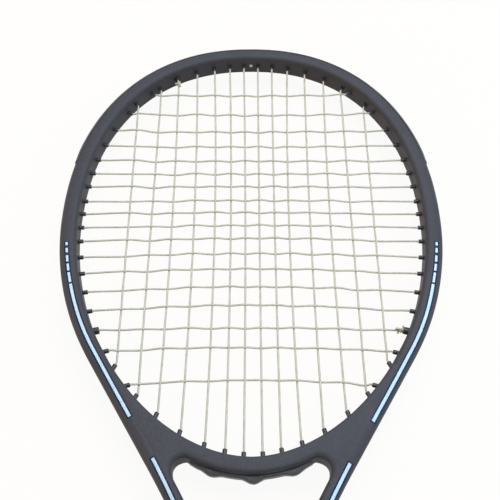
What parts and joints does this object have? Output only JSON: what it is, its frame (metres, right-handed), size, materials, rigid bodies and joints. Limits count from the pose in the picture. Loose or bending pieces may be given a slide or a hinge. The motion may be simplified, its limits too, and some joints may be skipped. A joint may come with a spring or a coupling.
{
  "type": "tennis racket",
  "caption": "Strung tennis racket: hollow D-section frame with open throat, bumper and grommet strips, woven string bed, wound leather grip and flared butt cap",
  "frame": {"origin": "middle of the racket's length and width, on the surface that the butt cap's lower flat rests on", "axes": "+Y towards the head along the middle line, +X to the right seen from the front, +Z out of the front face"},
  "size_m": [0.2727, 0.6858, 0.0388],
  "materials": {
    "graphite": "satin clear-coated charcoal",
    "grommet_nylon": "matt black moulded nylon",
    "string_gut": "waxy khaki-grey string",
    "plug_nylon": "pale moulded plug",
    "handle_foam": "matt closed-cell foam",
    "cap_plastic": "satin black",
    "nail_steel": "plain steel",
    "grip_leather": "matt black leather",
    "tape_vinyl": "satin black vinyl",
    "collar_rubber": "matt black rubber"
  },
  "bodies": {
    "racket": {"frame_tube": "graphite", "throat_bridge": "graphite", "bumper_guard": "grommet_nylon", "grommet_strip_left": "grommet_nylon", "grommet_strip_right": "grommet_nylon", "throat_grommet_strip": "grommet_nylon", "string": "string_gut", "knot_main": "string_gut", "knot_cross": "string_gut", "vent_plug": "plug_nylon", "handle_pallet_front": "handle_foam", "handle_pallet_back": "handle_foam", "butt_cap": "cap_plastic", "butt_cap_nail_front": "nail_steel", "butt_cap_nail_back": "nail_steel", "grip_wrap": "grip_leather", "finishing_tape": "tape_vinyl"},
    "collar": {"grip_collar": "collar_rubber"}
  },
  "joints": [
    {"name": "collar_slide", "type": "slide", "parent": "racket", "child": "collar", "axis": [0, 1, 0], "range_m": [0, 0.012]}
  ]
}
